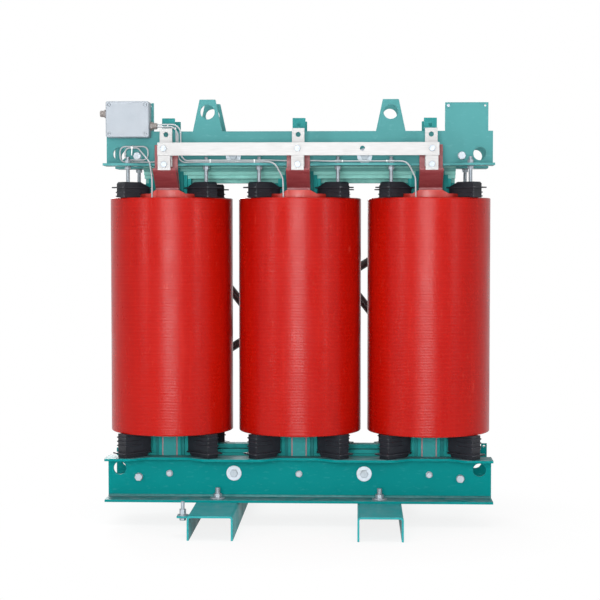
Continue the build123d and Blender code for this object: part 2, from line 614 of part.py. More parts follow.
def cable_routes():
    """Points of the three leads, from the right-hand gland to the duct of each coil."""
    x0, drop_y, end_z = BOX_X1 + 24, -146.5, 1092
    left = [(x0, -126.8, 1349.2), (-415, -126.8, 1349.2), (-415, -108, 1231.5),
            (-608, -108, 1231.5), (-608, -111, 1284), (-512, -114, 1284), (-512, -117, 1238),
            (-590, -118.5, 1238), (-590, -121, 1279), (-545, -124, 1279),
            (-500, -166, 1229.6), (-494, -150, 1177), (-495, drop_y, end_z)]
    centre = [(x0, -117.2, 1349.2), (-410, -117.2, 1349.2), (-410, -117, 1229.4),
              (-352, RUN_Y, 1229.4), (-122, RUN_Y, 1229.4), (-80, -167, 1229.4),
              (-52, -150, 1175), (-50, drop_y, end_z)]
    right = [(x0, -122, 1357.5), (-400, -122, 1357.5), (-400, -117, 1235.2),
             (-352, RUN_Y, 1235.2), (-100, RUN_Y, 1235.2), (-56, -117, 1235.2), (56, -117, 1235.2),
             (100, RUN_Y, 1232), (320, RUN_Y, 1232), (365, -167, 1231), (393, -150, 1177),
             (395, drop_y, end_z)]
    return {"left": left, "centre": centre, "right": right}


def loop_tie(x, y, z0, z1):
    """Flat tie closed round leads that run along X."""
    inner, thick = CABLE_R + 0.3, 1.1
    outer = SlotCenterToCenter(z1 - z0, 2 * (inner + thick), rotation=90)
    ring = outer - SlotCenterToCenter(z1 - z0, 2 * inner, rotation=90)
    return Pos(x - 2, y, (z0 + z1) / 2) * extrude(Plane.YZ * ring, 4)


def cable_ties():
    """Ties beside the studs that the leads run past."""
    both = [loop_tie(x, RUN_Y, 1229.4, 1235.2) for x in (STUD_X - PITCH + 15, -STUD_X - 15)]
    return both + [ring_tie(STUD_X + 15), ring_tie(PITCH - STUD_X - 15)]


def ring_tie(x):
    """Tie on the single lead beyond the middle coil."""
    band = rod_x(RUN_Y, 1232, x - 2, x + 2, CABLE_R + 1.4)
    return band - rod_x(RUN_Y, 1232, x - 3, x + 3, CABLE_R + 0.3)


for side, leg_x in LEGS.items():
    save(f"core_leg_{side}", core_leg(leg_x))
    save(f"hv_coil_{side}", hv_coil(leg_x))
    save(f"lv_coil_{side}", lv_coil(leg_x))
    save(f"phase_lead_{side}", phase_lead(leg_x))
    save(f"neutral_lead_{side}", neutral_lead(leg_x))
    save(f"phase_terminal_{side}", phase_terminal(leg_x))
    save(f"sensor_cable_{side}", cable(cable_routes()[side], HANK_BEND if side == "left" else CABLE_BEND))
save("core_yoke_top", core_yoke(YOKE_TOP_Z, YOKE_BOLT_UP))
save("core_yoke_bottom", core_yoke(YOKE_LOW_Z, YOKE_BOLT_LOW))
save("tie_plates", both_sides([tie_plate(x) for x in LEGS.values()]))
save("tie_liners", both_sides([tie_liner(x) for x in LEGS.values()]))
save("yoke_pads", yoke_pads())
save("clamp_upper_front", clamp_upper(True))
save("clamp_upper_rear", rear(clamp_upper(False)))
save("clamp_lower_front", clamp_lower(True))
save("clamp_lower_rear", rear(clamp_lower(False)))
save("yoke_bolts", [p for s in (-1, 1) for z in (YOKE_BOLT_UP, YOKE_BOLT_LOW)
                    for p in through_bolt(s * YOKE_BOLT_X, z, BIG_WASHER_T)])
save("yoke_washers", both_sides([plain_washer(s * YOKE_BOLT_X, z, BIG_WASHER_R, BIG_WASHER_T, M16_R)
                                 for s in (-1, 1) for z in (YOKE_BOLT_UP, YOKE_BOLT_LOW)]))
save("cross_bolts", [p for s in (-1, 1) for z in (CROSS_UP, CROSS_LOW)
                     for p in cross_bolt(s * CROSS_X, z)])
save("tie_plate_bolts", both_sides([p for x in LEGS.values() for z in (TIE_BOLT_UP, TIE_BOLT_LOW)
                                    for p in tie_bolt(x, z)]))
save("foot_left", earth_tab_foot(-FOOT_X))
save("foot_right", foot(FOOT_X))
save("foot_fasteners", both_sides(foot_fastener(-FOOT_X) + foot_fastener(FOOT_X)))
save("earth_bolt", earth_bolt())
save("coil_blocks_upper", placed_four(upper_block()))
save("coil_blocks_lower", placed_four(lower_block()))
save("press_studs", placed_four(press_stud()))
save("press_nuts", [p for nut in press_nuts() for p in placed_four(nut)])
save("neutral_straps", [neutral_strap(x) for x in LEGS.values()])
save("neutral_busbar", neutral_busbar())
save("busbar_bolts", busbar_bolts())
save("terminal_bolts", terminal_bolts())
save("hv_link_left", hv_link(LEGS["left"], HV_UP, LEGS["centre"], HV_LOW, BOSS_Y))
save("hv_link_right", hv_link(LEGS["centre"], HV_UP, LEGS["right"], HV_LOW, BOSS_Y))
save("hv_link_long", hv_link(LEGS["left"], HV_LOW, LEGS["right"], HV_UP, BOSS_Y + POST))
far_ends = [(LEGS["left"], HV_LOW), (LEGS["right"], HV_UP)]
near_ends = [(x, z) for x in LEGS.values() for z in (HV_UP, HV_LOW) if (x, z) not in far_ends]
save("hv_terminals", [p for x, z in near_ends for p in hv_terminal(x, z, BOSS_Y)]
     + [p for x, z in far_ends for p in hv_terminal(x, z, BOSS_Y + POST)])
save("hv_posts", [hv_post(x, z) for x, z in far_ends])
save("tap_links", [tap_link(x) for x in LEGS.values()])
save("tap_screws", tap_screws())
save("sensor_box", sensor_box())
save("sensor_box_lid", sensor_lid())
save("bracket_screw", bracket_screw())
save("lid_screws", [lid_screw(x, z) for x, z in lid_corners()])
save("gland_left", gland(BOX_X0, BOX_Z0 + GLAND_L_RISE, -1))
save("gland_right", gland(BOX_X1, BOX_Z0 + GLAND_R_RISE, 1))
save("cable_ties", cable_ties())
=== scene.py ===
import json
import math

import bmesh
import bpy
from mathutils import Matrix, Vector

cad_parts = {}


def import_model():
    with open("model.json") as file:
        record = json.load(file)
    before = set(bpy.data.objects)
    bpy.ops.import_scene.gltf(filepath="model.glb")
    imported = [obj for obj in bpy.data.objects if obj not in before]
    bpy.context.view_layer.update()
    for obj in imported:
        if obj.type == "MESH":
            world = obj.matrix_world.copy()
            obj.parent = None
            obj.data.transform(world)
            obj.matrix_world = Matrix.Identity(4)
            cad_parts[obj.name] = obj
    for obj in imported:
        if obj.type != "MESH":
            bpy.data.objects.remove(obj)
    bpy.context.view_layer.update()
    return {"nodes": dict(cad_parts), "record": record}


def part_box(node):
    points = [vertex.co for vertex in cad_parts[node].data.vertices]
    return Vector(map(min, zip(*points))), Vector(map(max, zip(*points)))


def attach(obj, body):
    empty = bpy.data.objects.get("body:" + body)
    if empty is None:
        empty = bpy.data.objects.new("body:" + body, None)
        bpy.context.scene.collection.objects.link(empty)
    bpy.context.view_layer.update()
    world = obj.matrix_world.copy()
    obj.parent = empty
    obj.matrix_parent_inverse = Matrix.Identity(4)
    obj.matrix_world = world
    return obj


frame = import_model()
nodes = frame["nodes"]
scene = bpy.context.scene


# Node helpers -------------------------------------------------------------------------------

EVEN = (1, 1, 1)                              # noise that is not stretched along any axis
NOISE_ROUGHNESS = 0.55
WAVE_SCALE = math.pi / 10                     # wave texture scale that gives one band a metre
MIX_FACTOR, MIX_A, MIX_B, MIX_RESULT = 0, 6, 7, 2   # colour sockets of a Mix node


def put(tree, node, key, value):
    """Sets an input of a node, or links it where the value is a socket."""
    socket = node.inputs[key]
    if isinstance(value, bpy.types.NodeSocket):
        tree.links.new(value, socket)
    else:
        socket.default_value = value


def add(tree, kind, settings=None, **inputs):
    """A node with its properties set, and its inputs set or linked by socket name."""
    node = tree.nodes.new(kind)
    for key, value in (settings or {}).items():
        setattr(node, key, value)
    for key, value in inputs.items():
        put(tree, node, key.replace("_", " "), value)
    return node


def new_group(kind, name, inputs, outputs):
    """An empty node group with the given sockets, and its input and output nodes."""
    tree = bpy.data.node_groups.new(name, kind)
    for label, socket_type, value in inputs:
        socket = tree.interface.new_socket(name=label, in_out="INPUT", socket_type=socket_type)
        if value is not None:
            socket.default_value = value
    for label, socket_type in outputs:
        tree.interface.new_socket(name=label, in_out="OUTPUT", socket_type=socket_type)
    return tree, tree.nodes.new("NodeGroupInput"), tree.nodes.new("NodeGroupOutput")


def calc(tree, operation, a, b=0.0):
    """A maths node on two values or sockets."""
    node = add(tree, "ShaderNodeMath", {"operation": operation})
    put(tree, node, 0, a)
    put(tree, node, 1, b)
    return node.outputs[0]


def ramp(tree, value, low, high, a=0.0, b=1.0):
    """Maps low..high to a..b, clamped."""
    node = add(tree, "ShaderNodeMapRange", {"clamp": True}, Value=value,
               From_Min=low, From_Max=high, To_Min=a, To_Max=b)
    return node.outputs[0]


def blend(tree, factor, a, b):
    """Mixes two colours."""
    node = add(tree, "ShaderNodeMix", {"data_type": "RGBA"})
    for index, value in ((MIX_FACTOR, factor), (MIX_A, a), (MIX_B, b)):
        put(tree, node, index, value)
    return node.outputs[MIX_RESULT]


def object_place(tree):
    """Where a point lies in metres."""
    return add(tree, "ShaderNodeTexCoord").outputs["Object"]


def noise(tree, scale, detail, stretch=EVEN):
    """Noise that is drawn out along an axis where its stretch is under 1."""
    mapped = add(tree, "ShaderNodeMapping", Vector=object_place(tree), Scale=stretch)
    node = add(tree, "ShaderNodeTexNoise", Vector=mapped.outputs[0], Scale=scale,
               Detail=detail, Roughness=NOISE_ROUGHNESS)
    return node.outputs[0]


def bands(tree, axis, pitch, wobble):
    """Regular bands across one axis, pitch in metres."""
    node = add(tree, "ShaderNodeTexWave", {"wave_type": "BANDS", "bands_direction": axis},
               Vector=object_place(tree), Scale=WAVE_SCALE / pitch, Distortion=wobble,
               Detail=2.0, Detail_Scale=1.5)
    return node.outputs["Fac"]


# Node groups shared by the materials --------------------------------------------------------

def edge_group():
    """Mask that is 1 along outer and inner edges, from a rounded normal against the real one."""
    untouched, bare = 0.995, 0.93             # cosines of the turn between the two normals
    tree, gin, gout = new_group("ShaderNodeTree", "edge_mask",
                                [("Radius", "NodeSocketFloat", 0.002)],
                                [("Mask", "NodeSocketFloat"), ("Normal", "NodeSocketVector")])
    rounded = add(tree, "ShaderNodeBevel", {"samples": 4}, Radius=gin.outputs["Radius"])
    real = add(tree, "ShaderNodeNewGeometry")
    turn = add(tree, "ShaderNodeVectorMath", {"operation": "DOT_PRODUCT"})
    put(tree, turn, 0, rounded.outputs[0])
    put(tree, turn, 1, real.outputs["Normal"])
    edges = ramp(tree, turn.outputs["Value"], untouched, bare)
    broken = ramp(tree, noise(tree, 60, 4), 0.35, 0.62)
    put(tree, gout, "Mask", calc(tree, "MULTIPLY", edges, broken))
    put(tree, gout, "Normal", rounded.outputs[0])
    return tree


def dust_and_reflection_group():
    """Mask that is 1 on surfaces facing up, broken by noise; on the clamp paint it also carries a
    painted reflection.
    """
    steep, level = 0.55, 1.0                  # upright part of the normal
    tree, gin, gout = new_group("ShaderNodeTree", "dust_and_reflection_mask",
                                [("Amount", "NodeSocketFloat", 0.3)],
                                [("Mask", "NodeSocketFloat")])
    normal = add(tree, "ShaderNodeNewGeometry").outputs["Normal"]
    parts = add(tree, "ShaderNodeSeparateXYZ", Vector=normal)
    facing_up = ramp(tree, parts.outputs["Z"], steep, level)
    patchy = ramp(tree, noise(tree, 22, 5), 0.3, 0.75)
    lying = calc(tree, "MULTIPLY", facing_up, patchy)
    put(tree, gout, "Mask", calc(tree, "MULTIPLY", lying, gin.outputs["Amount"]))
    return tree


EDGE, DUST_AND_REFLECTION = edge_group(), dust_and_reflection_group()


def shade(colour, factor, lift=0.0):
    """A colour made darker or lighter."""
    return tuple(min(1, c * factor + lift) for c in colour)


class Look:
    """One material under construction: its colour, roughness and normal so far."""

    def __init__(self, name, colour, roughness=0.5, metallic=0.0, edge=0.0015, specular=0.5):
        self.material = bpy.data.materials.new(name)
        self.material.use_nodes = True
        self.material.diffuse_color = (*colour, 1)
        self.tree = self.material.node_tree
        self.shader = self.tree.nodes["Principled BSDF"]
        self.shader.inputs["Metallic"].default_value = metallic
        self.shader.inputs["Specular IOR Level"].default_value = specular
        self.colour = (*colour, 1)
        self.roughness = roughness
        self.edges = add(self.tree, "ShaderNodeGroup", {"node_tree": EDGE}, Radius=edge)
        self.normal = self.edges.outputs["Normal"]

    def tint(self, mask, colour, strength=1.0):
        """Moves the colour towards another where the mask is."""
        factor = mask if strength == 1.0 else calc(self.tree, "MULTIPLY", mask, strength)
        self.colour = blend(self.tree, factor, self.colour, (*colour, 1))
        return self

    def patches(self, scale, detail, low, high, colour, strength, stretch=EVEN):
        """Tints where noise rises from low to high."""
        mask = ramp(self.tree, noise(self.tree, scale, detail, stretch), low, high)
        return self.tint(mask, colour, strength)

    def worn(self, colour, strength):
        """Tints the edges."""
        return self.tint(self.edges.outputs["Mask"], colour, strength)

    def tint_dust_and_reflection(self, colour, amount):
        """Tints what faces up."""
        dust_and_reflection = add(self.tree, "ShaderNodeGroup", {"node_tree": DUST_AND_REFLECTION}, Amount=amount)
        return self.tint(dust_and_reflection.outputs["Mask"], colour)

    def bump(self, height, strength, depth):
        """Relief in the normal, its depth in metres."""
        node = add(self.tree, "ShaderNodeBump", Height=height, Normal=self.normal,
                   Strength=strength, Distance=depth)
        self.normal = node.outputs[0]
        return self

    def grain(self, scale, detail, strength, depth, stretch=EVEN):
        """Relief from noise."""
        return self.bump(noise(self.tree, scale, detail, stretch), strength, depth)

    def rough_from(self, mask, low, high):
        """Roughness between two values, from a mask or noise."""
        self.roughness = ramp(self.tree, mask, 0.3, 0.7, low, high)
        return self

    def uneven_gloss(self, scale, detail, low, high, stretch=EVEN):
        """Roughness between two values, from new noise."""
        return self.rough_from(noise(self.tree, scale, detail, stretch), low, high)

    def done(self):
        """The material, with what was built linked to its shader."""
        put(self.tree, self.shader, "Base Color", self.colour)
        put(self.tree, self.shader, "Normal", self.normal)
        put(self.tree, self.shader, "Roughness", self.roughness)
        return self.material


# Materials ----------------------------------------------------------------------------------

def enamel(name, colour, light, dust_and_reflection=0.2):
    """Sprayed paint on plate: slight orange peel, soft patches, bright rubbed edges."""
    look = Look(name, colour, edge=0.0022, specular=0.03)
    look.patches(3.5, 3, 0.35, 0.7, shade(colour, 0.82), 0.6)
    look.patches(40, 5, 0.58, 0.75, light, 0.18, stretch=(1, 1, 3))
    # What faces up turns grey: dust at the small amounts, and at the clamp paint's large amount
    # also a painted reflection of the black blocks and red coils.
    look.worn(light, 0.55).tint_dust_and_reflection((0.26, 0.28, 0.31), dust_and_reflection)
    look.uneven_gloss(14, 4, 0.34, 0.5)
    look.grain(420, 2, 0.12, 0.0006).grain(26, 3, 0.05, 0.002)
    return look.done()


def laminations(name, colour):
    """Varnished sheet edges stacked along Y under the same paint as the clamps."""
    look = Look(name, colour, edge=0.0012, specular=0.08)
    sheets = bands(look.tree, "Y", 0.0036, 0.35)
    packets = bands(look.tree, "Y", 0.0158, 0.8)
    joints, light = (0.005, 0.08, 0.085), shade(colour, 1.7, 0.006)
    look.tint(ramp(look.tree, sheets, 0.15, 0.45, 1, 0), joints, 0.55)
    look.tint(ramp(look.tree, packets, 0.55, 0.95), light, 0.4)
    look.patches(9, 5, 0.5, 0.72, light, 0.3, stretch=(0.4, 3, 1))
    look.tint_dust_and_reflection((0.3, 0.38, 0.4), 0.15)
    look.uneven_gloss(30, 4, 0.38, 0.62)
    look.bump(sheets, 0.45, 0.0006).grain(60, 4, 0.2, 0.0008, stretch=(0.3, 2, 1))
    return look.done()


def cast_resin(name):
    """Red cast epoxy over glass weave: fine rings, faint upright runs, broad soft gloss."""
    look = Look(name, (0.37, 0.004, 0.0008), edge=0.004, specular=0.17)
    rings = bands(look.tree, "Z", 0.0052, 0.5)
    turns = bands(look.tree, "Z", 0.0145, 1.3)
    weave = add(look.tree, "ShaderNodeTexVoronoi", {"feature": "F1"},
                Vector=object_place(look.tree), Scale=190)
    look.patches(5, 4, 0.4, 0.7, (0.32, 0.0015, 0.0006), 0.7, stretch=(2.4, 2.4, 0.35))
    look.patches(16, 5, 0.57, 0.7, (0.45, 0.01, 0.004), 0.4, stretch=(3, 3, 0.12))
    look.tint(ramp(look.tree, rings, 0.0, 0.5, 1, 0), (0.3, 0.002, 0.001), 0.22)
    look.tint(ramp(look.tree, turns, 0.75, 1.0), (0.47, 0.03, 0.015), 0.12)
    look.patches(120, 3, 0.66, 0.74, (0.6, 0.09, 0.06), 0.2, stretch=(1, 1, 0.2))
    look.worn((0.6, 0.06, 0.04), 0.3)
    look.uneven_gloss(18, 4, 0.24, 0.36, stretch=(1, 1, 0.4))
    look.bump(rings, 0.35, 0.0005).bump(turns, 0.08, 0.001)
    look.bump(weave.outputs["Distance"], 0.1, 0.0004)
    look.grain(7, 3, 0.12, 0.004, stretch=(2, 2, 0.5))
    look.grain(34, 4, 0.12, 0.0012, stretch=(2.5, 2.5, 0.12))
    return look.done()


def lv_winding(name):
    """Foil winding bound in resin, its turns just showing on the ends."""
    look = Look(name, (0.5, 0.03, 0.02), edge=0.003)
    turns = bands(look.tree, "Z", 0.007, 1.2)
    look.patches(12, 5, 0.42, 0.66, (0.34, 0.02, 0.018), 0.6)
    look.patches(70, 4, 0.6, 0.72, (0.62, 0.2, 0.17), 0.3, stretch=(1, 1, 0.3))
    look.worn((0.6, 0.2, 0.17), 0.4).tint_dust_and_reflection((0.6, 0.3, 0.27), 0.3)
    look.uneven_gloss(25, 4, 0.34, 0.52)
    look.bump(turns, 0.2, 0.0008).grain(90, 4, 0.15, 0.0008)
    return look.done()


def moulded(name):
    """Black moulded insulator: fine grain, greyer edges and a little dust on top."""
    look = Look(name, (0.009, 0.01, 0.015), edge=0.0012, specular=0.35)
    look.patches(35, 5, 0.45, 0.7, (0.018, 0.02, 0.028), 0.6)
    look.worn((0.06, 0.06, 0.08), 0.4).tint_dust_and_reflection((0.1, 0.1, 0.12), 0.3)
    look.uneven_gloss(50, 4, 0.34, 0.55)
    look.grain(500, 2, 0.2, 0.0005).grain(30, 3, 0.1, 0.001)
    return look.done()


def plated(name, colour):
    """Zinc-plated steel: bluish, faintly cloudy, darker along its corners and seats."""
    look = Look(name, colour, metallic=0.4, edge=0.002, specular=0.3)
    look.patches(90, 4, 0.4, 0.7, shade(colour, 0.75), 0.5)
    look.patches(24, 3, 0.55, 0.72, (0.3, 0.3, 0.26), 0.2)
    look.worn((0.03, 0.035, 0.04), 0.85).tint_dust_and_reflection((0.3, 0.3, 0.3), 0.12)
    look.uneven_gloss(160, 4, 0.38, 0.52)
    look.grain(600, 3, 0.12, 0.0004)
    return look.done()


def bare_bar(name):
    """Bright aluminium bar with fine lengthwise drawing lines and a few handling marks."""
    look = Look(name, (0.45, 0.45, 0.45), metallic=0.05, edge=0.001, specular=0.3)
    drawn = noise(look.tree, 40, 5, (0.5, 14, 14))
    look.tint(ramp(look.tree, drawn, 0.42, 0.66), (0.37, 0.365, 0.36), 0.6)
    look.patches(9, 5, 0.6, 0.75, (0.33, 0.31, 0.3), 0.35)
    look.worn((0.3, 0.3, 0.3), 0.5)
    look.rough_from(drawn, 0.36, 0.52)
    look.bump(drawn, 0.16, 0.0004).grain(220, 3, 0.06, 0.0004)
    return look.done()


def lead_wrap(name):
    """Shrunk-on red-brown sleeve: soft gloss, crosswise wrinkles at the bends."""
    look = Look(name, (0.21, 0.042, 0.046), edge=0.002, specular=0.3)
    wrinkles = noise(look.tree, 30, 4, (0.5, 2, 3.5))
    look.tint(ramp(look.tree, wrinkles, 0.4, 0.66), (0.16, 0.018, 0.022), 0.55)
    look.patches(80, 5, 0.6, 0.72, (0.42, 0.12, 0.12), 0.3)
    look.worn((0.42, 0.13, 0.13), 0.5).tint_dust_and_reflection((0.4, 0.2, 0.2), 0.3)
    look.uneven_gloss(30, 4, 0.32, 0.5)
    look.bump(wrinkles, 0.3, 0.0014).grain(400, 2, 0.12, 0.0004)
    return look.done()


def plastic(name, colour, roughness, relief, scale=450):
    """Moulded or jacket plastic with a fine grain and slight shade changes."""
    look = Look(name, colour, edge=0.0016)
    look.patches(11, 4, 0.4, 0.7, shade(colour, 0.86), 0.6)
    look.patches(70, 5, 0.62, 0.75, shade(colour, 0.6), 0.3)
    look.worn(shade(colour, 1.25, 0.03), 0.45).tint_dust_and_reflection(shade(colour, 0.75), 0.2)
    look.uneven_gloss(20, 4, roughness - 0.07, roughness + 0.1)
    look.grain(scale, 2, relief, 0.0005)
    return look.done()


def board(name):
    """Laminated glass-fibre strip with its layers showing on the edge."""
    look = Look(name, (0.26, 0.14, 0.16), roughness=0.55)
    layers = bands(look.tree, "Y", 0.0006, 0.5)
    look.tint(ramp(look.tree, layers, 0.3, 0.7), (0.18, 0.09, 0.1), 0.6)
    look.patches(60, 5, 0.5, 0.7, (0.34, 0.22, 0.24), 0.4)
    look.grain(300, 3, 0.2, 0.0004)
    return look.done()


def sleeve(name):
    """Black woven sleeve drawn over the link tubes."""
    strand = 0.004
    look = Look(name, (0.012, 0.012, 0.014))
    weave = calc(look.tree, "MULTIPLY", bands(look.tree, "X", strand, 0.3),
                 bands(look.tree, "Z", strand, 0.3))
    look.tint(ramp(look.tree, weave, 0.3, 0.8), (0.04, 0.04, 0.045), 0.6)
    look.patches(40, 5, 0.55, 0.75, (0.07, 0.065, 0.06), 0.4)
    look.uneven_gloss(60, 4, 0.42, 0.62)
    look.bump(weave, 0.35, 0.0006)
    return look.done()


def brass(name):
    """Dull brass link with brushed lines and darker tarnish."""
    brushed = (0.3, 3, 3)
    look = Look(name, (0.66, 0.46, 0.2), metallic=0.9, edge=0.0008)
    look.patches(50, 5, 0.45, 0.7, (0.42, 0.28, 0.13), 0.6)
    look.worn((0.85, 0.68, 0.38), 0.6)
    look.uneven_gloss(120, 4, 0.26, 0.46, stretch=brushed)
    look.grain(300, 3, 0.15, 0.0004, stretch=brushed)
    return look.done()


looks = {
    # Its grey on what faces up is partly dust and partly a painted reflection of the blocks and
    # coils.
    "clamp_paint": enamel("teal_enamel", (0.0, 0.205, 0.205), (0.08, 0.38, 0.38), dust_and_reflection=0.75),
    # The feet's teal is made paler than the clamps': painted light falling on them from above.
    "foot_paint": enamel("lit_teal_enamel_feet", (0.03, 0.3, 0.315), (0.14, 0.48, 0.5)),
    "core_steel": laminations("varnished_laminations", (0.006, 0.21, 0.205)),
    "cast_resin": cast_resin("red_cast_resin"),
    "lv_winding": lv_winding("resin_bound_foil"),
    "moulded_insulator": moulded("black_moulding"),
    "plated_steel": plated("zinc_plate", (0.33, 0.37, 0.41)),
    "bare_aluminium": bare_bar("bright_aluminium"),
    "lead_wrap": lead_wrap("red_brown_sleeve"),
    "box_plastic": plastic("grey_box_plastic", (0.29, 0.325, 0.365), 0.42, 0.25),
    "gland_plastic": plastic("dull_gland", (0.2, 0.175, 0.165), 0.4, 0.15),
    "cable_jacket": plastic("grey_cable_jacket", (0.42, 0.44, 0.46), 0.45, 0.2, scale=700),
    "tie_plastic": plastic("white_nylon", (0.82, 0.83, 0.83), 0.4, 0.1),
    "insulation_board": board("laminate_board"),
    "link_sleeve": sleeve("black_woven_sleeve"),
    "tap_brass": brass("dull_brass"),
}

# Nodes that are paler than the rest of their material slot; on the upper clamps and the top yoke
# the paler colour is painted light.
# Lit copy of the teal enamel: its paler colour is painted light on the upper clamps and a painted
# highlight on the lower clamps' bends.
lit_enamel = enamel("lit_teal_enamel", (0.075, 0.27, 0.275), (0.22, 0.45, 0.46))
paler = {
    "clamp_upper_front": lit_enamel,
    "clamp_upper_rear": lit_enamel,
    # The top yoke is the same laminations made paler: a painted highlight on its steps.
    "core_yoke_top": laminations("lit_laminations", (0.17, 0.41, 0.37)),
    "tie_plates": enamel("mid_teal_enamel", (0.03, 0.235, 0.235), (0.12, 0.42, 0.42)),
    "yoke_washers": plated("pale_zinc_plate", (0.46, 0.51, 0.56)),
}

slot_of = {part["node"]: part["material_slot"] for part in frame["record"]["subparts"]}
for name, obj in nodes.items():
    obj.data.materials.clear()
    obj.data.materials.append(paler.get(name, looks[slot_of[name]]))


# Small pieces made here ---------------------------------------------------------------------

STUD_R, FOOT_BOLT_R = 0.006, 0.008
STUD_X, STUD_Y = 0.133, 0.134                 # from the axis of a leg to its press studs
FOOT_BOLT_Y = 0.14
THREAD_PITCH, CREST_R = 0.00225, 0.00055
FIRST_CREST, LAST_CREST = 0.0012, 0.001       # from the ends of a bare length of thread
CAP_GAP, UNDER_NUTS, INTO_NUTS = 0.0035, 0.0005, 0.0015   # where the studs' bare lengths end
FOOT_TIP = 0.0195                             # bare length on top of a foot bolt
PATH_SIDES, CREST_SIDES = 16, 4
QUARTERS = ((-1, -1), (-1, 1), (1, -1), (1, 1))

CLAMP_PLATE = 0.008
FOLD_R, FOLD_STEPS = 0.006, 6                 # bend inside a clamp's plate
FOLD_SHORT = 0.0002                           # how far short of the clamp's ends it stops

TIE_IN = 0.089                                # from the left end of the upper clamp
TIE_WIDE, TIE_THICK = 0.0045, 0.0011
TIE_BEND, TIE_STEPS = 0.0032, 8               # half turn of the band round each strand
LOCK_BEVEL, BEVEL_STEPS = 0.0008, 2


def finished(mesh, name, slot, smooth=True, look=None):
    """An object at the origin made from a mesh, shaded, given its finish and tied to the body."""
    mesh.materials.clear()
    mesh.materials.append(look or looks[slot])
    for face in mesh.polygons:
        face.use_smooth = smooth
    obj = bpy.data.objects.new(name, mesh)
    scene.collection.objects.link(obj)
    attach(obj, "root")


def closed_mesh(bm, name):
    """A mesh with its faces turned outwards."""
    bmesh.ops.recalc_face_normals(bm, faces=bm.faces)
    mesh = bpy.data.meshes.new(name)
    bm.to_mesh(mesh)
    bm.free()
    return mesh


def crest_group():
    """A ring round Z at every point, with the radius of the thread and of its crest."""
    tree, gin, gout = new_group("GeometryNodeTree", "thread_rings",
                                [("Geometry", "NodeSocketGeometry", None),
                                 ("Thread Radius", "NodeSocketFloat", STUD_R),
                                 ("Crest Radius", "NodeSocketFloat", CREST_R)],
                                [("Geometry", "NodeSocketGeometry")])
    path = add(tree, "GeometryNodeCurvePrimitiveCircle", Resolution=PATH_SIDES,
               Radius=gin.outputs["Thread Radius"])
    section = add(tree, "GeometryNodeCurvePrimitiveCircle", Resolution=CREST_SIDES,
                  Radius=gin.outputs["Crest Radius"])
    ring = add(tree, "GeometryNodeCurveToMesh", Curve=path.outputs["Curve"],
               Profile_Curve=section.outputs["Curve"])
    spread = add(tree, "GeometryNodeInstanceOnPoints", Points=gin.outputs["Geometry"],
                 Instance=ring.outputs["Mesh"])
    real = add(tree, "GeometryNodeRealizeInstances", Geometry=spread.outputs["Instances"])
    paint = add(tree, "GeometryNodeSetMaterial", Geometry=real.outputs["Geometry"],
                Material=looks["plated_steel"])
    put(tree, gout, "Geometry", paint.outputs["Geometry"])
    return tree


def crest_mesh(group, places, radius):
    """The rings of one thread size as a plain mesh."""
    cloud = bpy.data.meshes.new("places")
    cloud.from_pydata(places, [], [])
    holder = bpy.data.objects.new("places", cloud)
    scene.collection.objects.link(holder)
    modifier = holder.modifiers.new("rings", "NODES")
    modifier.node_group = group
    socket = group.interface.items_tree["Thread Radius"]
    modifier[socket.identifier] = radius
    graph = bpy.context.evaluated_depsgraph_get()
    mesh = bpy.data.meshes.new_from_object(holder.evaluated_get(graph))
    bpy.data.objects.remove(holder)
    return mesh


def bare_thread(x, y, bottom, top):
    """Places one pitch apart up a bare length of thread."""
    count = int((top - bottom - LAST_CREST) / THREAD_PITCH)
    return [(x, y, bottom + FIRST_CREST + i * THREAD_PITCH) for i in range(count)]


def thread_crests():
    """Crests on the bare lengths of the press studs and the foot bolts."""
    cap_top, stud_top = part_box("coil_blocks_upper")[1].z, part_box("press_studs")[1].z
    nuts_low, nuts_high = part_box("press_nuts")
    lengths = ((cap_top + CAP_GAP, nuts_low.z - UNDER_NUTS), (nuts_high.z - INTO_NUTS, stud_top))
    stud_places = []
    for side in ("left", "centre", "right"):
        low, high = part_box(f"core_leg_{side}")
        for sx, sy in QUARTERS:
            x, y = (low.x + high.x) / 2 + sx * STUD_X, sy * STUD_Y
            for bottom, top in lengths:
                stud_places += bare_thread(x, y, bottom, top)

    foot_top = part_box("foot_fasteners")[1].z
    low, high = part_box("foot_right")
    foot_places = []
    for sx, sy in QUARTERS:
        x, y = sx * (low.x + high.x) / 2, sy * FOOT_BOLT_Y
        foot_places += bare_thread(x, y, foot_top - FOOT_TIP, foot_top)

    group = crest_group()
    for radius, places in ((STUD_R, stud_places), (FOOT_BOLT_R, foot_places)):
        mesh = crest_mesh(group, places, radius)
        finished(mesh, f"thread_crests_{round(2000 * radius)}", "plated_steel")


def tie_band(bm, outline, x0, x1):
    """Flat band along a closed line of (y, z) points, its thickness outside the line."""
    centre = sum(outline, Vector((0, 0))) / len(outline)
    rows = []
    for x in (x0, x1):
        for grow in (0.0, TIE_THICK):
            grown = [point + (point - centre).normalized() * grow for point in outline]
            rows.append([bm.verts.new((x, y, z)) for y, z in grown])
    inner_a, outer_a, inner_b, outer_b = rows
    for i in range(len(outline)):
        j = (i + 1) % len(outline)
        bm.faces.new((inner_a[i], inner_a[j], outer_a[j], outer_a[i]))
        bm.faces.new((inner_b[j], inner_b[i], outer_b[i], outer_b[j]))
        bm.faces.new((outer_a[i], outer_a[j], outer_b[j], outer_b[i]))
        bm.faces.new((inner_a[j], inner_a[i], inner_b[i], inner_b[j]))


